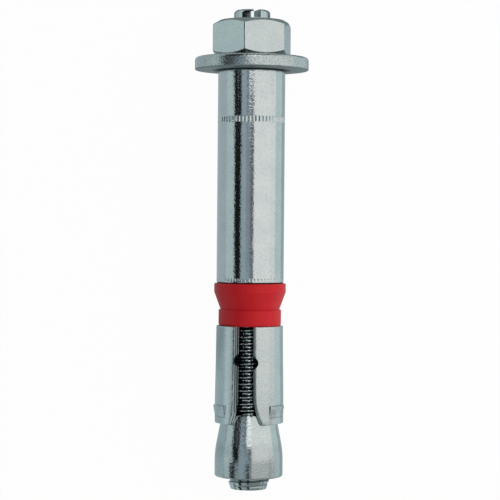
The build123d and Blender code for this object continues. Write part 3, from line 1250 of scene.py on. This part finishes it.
def arc_card(name, start, end, *stops):
    """A strip of a large cylinder round the axis, between two directions in degrees."""
    steps = max(2, ceil(abs(end - start) / 5))
    corners, faces = [], []
    for index in range(steps + 1):
        direction = outward(start + (end - start) * index / steps) * card_radius
        corners += [(direction.x, -card_reach, direction.z), (direction.x, card_reach, direction.z)]
    for first in range(0, 2 * steps, 2):
        faces.append((first, first + 1, first + 3, first + 2))
    card_object(name, corners, faces, stops)


def flat_card(name, left, right, low, high, height, *stops):
    """A level card at a height, between two places across and two along the axis."""
    corners = [(left, low, height), (right, low, height), (right, high, height), (left, high, height)]
    card_object(name, corners, [(0, 1, 2, 3)], stops)


def end_card(name, along, colour):
    """An upright card across one end of the row of cards."""
    left, right = -card_radius, card_radius
    corners = [(left, along, 0), (right, along, 0), (right, along, card_radius), (left, along, card_radius)]
    card_object(name, corners, [(0, 1, 2, 3)], [(0, colour)])


def make_cards(floor):
    """What the polished metal reflects, from left to right, then at the ends and on the floor.
    Angles are degrees, and places along the axis are metres."""
    black = (0.012, 0.014, 0.015)
    soot = (0.02, 0.025, 0.03)
    dark = (0.15, 0.17, 0.20)
    slate = (0.25, 0.29, 0.30)
    dim = (0.30, 0.34, 0.38)
    grey = (0.38, 0.47, 0.52)
    seam_light = (0.38, 0.53, 0.57)
    pale = (0.55, 0.66, 0.69)
    light = (0.67, 0.80, 0.84)
    white = (1.0, 1.0, 1.0)
    glint = (1.45, 1.5, 1.5)

    # Places along the axis that the sleeve's mouth and the cone's land reflect
    at_mouth, at_land = -0.182, -0.205
    seam_stops = (-0.168, seam_light), (-0.10, seam_light)
    arc_card(
        "left_card", -97, -68,
        (-0.19, pale), (-0.17, light), (-0.135, light), (-0.112, (0.51, 0.61, 0.64)),
        (-0.085, pale), (0.065, pale), (0.085, (0.60, 0.73, 0.73)),
    )
    for name, start, end, *places in (
        ("flag_outer", -68, -64, -0.19, -0.17, 0.07, 0.085),
        ("flag_edge", -64, -61, -0.178, -0.16, 0.068, 0.08),
        ("flag_washer_end", -61, -57.5, -0.178, -0.16, 0.016, 0.028),
        ("flag_middle", -57.5, -52, -0.155, -0.145, -0.108, -0.098),
    ):
        arc_card(name, start, end, *zip(places, (black, pale, pale, black)))
    arc_card("dark_flag", -52, -48, (0, black))
    arc_card(
        "flag_inner", -48, -43,
        (at_mouth, grey), (-0.167, black), (0.062, black), (0.074, grey), (0.105, grey), (0.12, black),
    )
    arc_card("flag_end", -43, -34, (-0.19, grey), (-0.17, black))
    arc_card("grey_card", -34, -16, (0.10, grey), (0.13, black))
    arc_card("dim_card", -16, -8, (at_mouth, dim), *seam_stops, (-0.08, dim), (0.05, dim), (0.08, dark))
    arc_card("strip_card", -8, -2, (at_mouth, soot), *seam_stops, (-0.08, dim), (0.05, dim), (0.08, glint))
    arc_card("lens_card", -2, 4, (at_mouth, soot), *seam_stops, (-0.08, dark), (0.05, dark), (0.08, glint))
    arc_card(
        "edge_card", 4, softbox_start,
        (at_mouth, (0.45, 0.48, 0.48)), (-0.168, dark), (0.05, dark), (0.08, glint),
    )
    arc_card(
        "softbox_face", softbox_start, softbox_face_end,
        (-0.9, slate), (at_land, (0.62, 0.65, 0.65)), (-0.108, white), (0.06, white),
        (0.09, (0.86, 0.90, 0.90)),
    )
    arc_card(
        "softbox_side", softbox_face_end, softbox_end,
        (-0.9, (0.20, 0.24, 0.25)), (at_land, (0.50, 0.54, 0.54)), (-0.10, (0.90, 0.94, 0.94)),
        (0.06, (0.95, 0.98, 0.98)), (0.09, (0.70, 0.76, 0.76)),
    )
    end_card("nut_end_card", card_reach, black)
    end_card("cone_end_card", -card_reach, slate)

    # Floor cards, the one under the nut above the others, stand in for the floor as the metal reflects it,
    # with the object's shadow painted in: darker on the left, beside the object and under the nut. The two
    # black flags over the seam are painted shade, in place of the shade that the sleeve's walls cast on the
    # thread.
    floor = floor + card_lift
    middle, nut_side = -0.006, 0.0135
    flat_card(
        "left_floor_card", -0.6, middle, -0.8, 0.6, floor,
        (-0.15, (0.22, 0.27, 0.28)), (-0.13, (0.56, 0.66, 0.68)), (-0.108, (0.46, 0.57, 0.60)),
        (-0.098, (0.38, 0.48, 0.51)), (-0.085, (0.42, 0.52, 0.55)), (-0.073, (0.28, 0.36, 0.39)),
        (-0.055, (0.46, 0.54, 0.57)),
    )
    flat_card(
        "right_floor_card", 0.03, 0.6, -0.8, 0.6, floor,
        (-0.15, (0.30, 0.35, 0.36)), (-0.12, (0.65, 0.76, 0.78)),
    )
    flat_card("near_floor_card", middle, 0.03, -0.8, nut_side, floor, (0, (0.42, 0.50, 0.52)))
    flat_card("nut_floor_card", -0.02, 0.04, nut_side, 0.065, floor + card_lift, (0, (0.20, 0.24, 0.25)))
    seam_end, seam_start, flag_height = -0.0885, -0.0625, 0.015
    for name, left, right in (("seam_flag_right", 0.0008, 0.0033), ("seam_flag_left", -0.0125, -0.0056)):
        flat_card(name, left, right, seam_end, seam_start, flag_height, (0, black))


def stand_at(thing, place, side, upward, backward):
    """Places a light or the camera, given the directions of its own three axes."""
    turn = Matrix((side, upward, backward)).transposed().to_4x4()
    thing.matrix_world = Matrix.Translation(place) @ turn


def make_softbox():
    """One broad panel on the right, as wide as the bright part of the reflections."""
    half = radians(softbox_end - softbox_start) / 2
    light = bpy.data.lights.new("softbox", "AREA")
    light.shape = "RECTANGLE"
    light.size = 2 * softbox_distance * tan(half)
    light.size_y = softbox_length
    light.energy = softbox_strength * pi * light.size * light.size_y
    softbox = linked("softbox", light)
    direction = outward((softbox_start + softbox_end) / 2)
    along = Vector((0, 1, 0))
    stand_at(softbox, direction * softbox_distance, along.cross(direction), along, direction)
    softbox.visible_camera = False
    softbox.visible_glossy = False


def make_world():
    """Soft light all round, and white where the camera or a reflection looks past the object."""
    world = bpy.data.worlds.new("studio")
    bpy.context.scene.world = world
    world.use_nodes = True
    world.cycles.sampling_method = "NONE"
    graph = Graph(world.node_tree)
    inputs = {"Value": seen_straight(graph), "To Min": ambient_strength, "To Max": 1.0}
    background = world.node_tree.nodes["Background"]
    background.inputs["Color"].default_value = (1, 1, 1, 1)
    graph.feed(background.inputs["Strength"], graph.number("ShaderNodeMapRange", inputs=inputs))


def make_camera():
    """The camera above the anchor, level with a point 40 mm below the washer."""
    camera_data = bpy.data.cameras.new("camera")
    camera_data.sensor_width = 36
    camera_data.lens = 133.2
    camera_data.clip_end = 20
    camera = linked("camera", camera_data)
    place = Vector((-0.00008, -0.040, 0.488))
    target = Vector((-0.00008, -0.04727, 0))
    backward = (place - target).normalized()
    roll = radians(0.467)
    side = Vector((-sin(roll), cos(roll), 0)).cross(backward).normalized()
    stand_at(camera, place, side, backward.cross(side), backward)
    bpy.context.scene.camera = camera


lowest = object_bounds()[0][2]
make_floor(lowest)
make_cards(lowest)
make_softbox()
make_world()
make_camera()
bpy.context.scene.view_settings.view_transform = "Standard"
